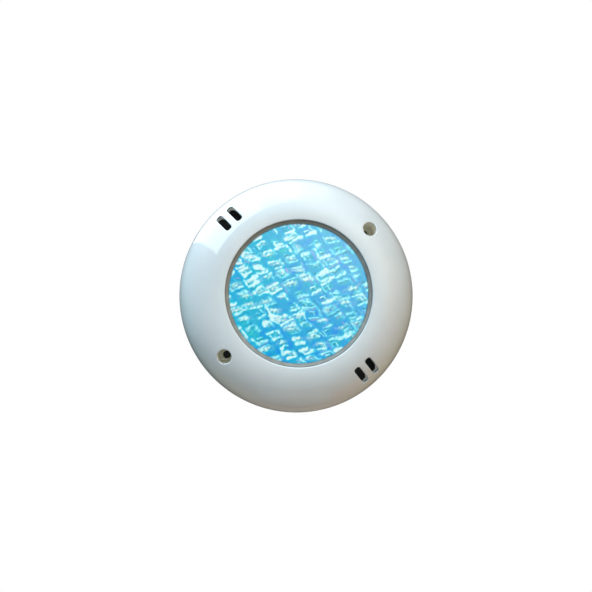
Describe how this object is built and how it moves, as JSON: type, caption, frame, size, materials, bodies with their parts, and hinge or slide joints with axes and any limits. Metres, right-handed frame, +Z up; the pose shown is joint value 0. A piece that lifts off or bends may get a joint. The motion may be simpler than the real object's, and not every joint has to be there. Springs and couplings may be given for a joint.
{
  "type": "underwater pool light",
  "caption": "Round wall-mounted underwater pool light with a white domed face ring, water slots, counterbored screw holes and a flat prismatic lens.",
  "frame": {"origin": "centre of the bracket's flat back face, on the wall plane", "axes": "+Z up along the wall, +Y into the wall, the light shines along -Y; X to the right when facing the light"},
  "size_m": [0.15, 0.03, 0.15],
  "materials": {
    "white_abs": "glossy moulded white ABS",
    "clear_polycarbonate": "clear polished polycarbonate",
    "grey_silicone": "matte grey silicone rubber",
    "prism_acrylic": "prismatic acrylic sheet lit azure",
    "clamp_nylon": "satin grey nylon",
    "stainless_screw": "stainless steel",
    "board_aluminium": "brushed sheet",
    "led_white_mask": "white solder mask and LED packages",
    "thermal_silicone": "matte thermal pad",
    "driver_green": "green circuit board",
    "component_black": "moulded epoxy",
    "inductor_ferrite": "dark ferrite",
    "capacitor_can": "satin can",
    "lead_red": "red insulation",
    "lead_black": "black insulation",
    "housing_abs": "satin moulded ABS",
    "oring_nitrile": "matte black rubber",
    "gland_nylon": "satin black nylon",
    "bracket_abs": "satin black ABS"
  },
  "bodies": {
    "bracket": {"wall_bracket": "bracket_abs"},
    "lamp": {"lens": "clear_polycarbonate", "lens_gasket": "grey_silicone", "prism_sheet": "prism_acrylic", "clamp_ring": "clamp_nylon", "clamp_screw_1": "stainless_screw", "clamp_screw_2": "stainless_screw", "clamp_screw_3": "stainless_screw", "clamp_screw_4": "stainless_screw", "clamp_screw_5": "stainless_screw", "clamp_screw_6": "stainless_screw", "led_array": "led_white_mask", "led_board": "board_aluminium", "thermal_pad": "thermal_silicone", "driver_board": "driver_green", "bridge_rectifier": "component_black", "driver_ic": "component_black", "power_inductor": "inductor_ferrite", "smoothing_capacitor": "capacitor_can", "led_lead_plus": "lead_red", "led_lead_minus": "lead_black", "housing": "housing_abs", "housing_oring": "oring_nitrile", "gland_body": "gland_nylon", "gland_lock_nut": "gland_nylon", "gland_seal": "oring_nitrile", "gland_oring": "oring_nitrile"},
    "ring": {"face_ring": "white_abs"},
    "dome_nut": {"gland_nut": "gland_nylon"}
  },
  "joints": [
    {"name": "lamp_pull", "type": "slide", "parent": "bracket", "child": "lamp", "axis": [0, -1, 0], "range_m": [0, 0.05]},
    {"name": "ring_pull", "type": "slide", "parent": "lamp", "child": "ring", "axis": [0, -1, 0], "range_m": [0, 0.045]},
    {"name": "gland_nut_turn", "type": "hinge", "parent": "lamp", "child": "dome_nut", "pos_m": [0, -0.003, -0.021], "axis": [0, 1, 0], "range_deg": [-180, 0]}
  ]
}
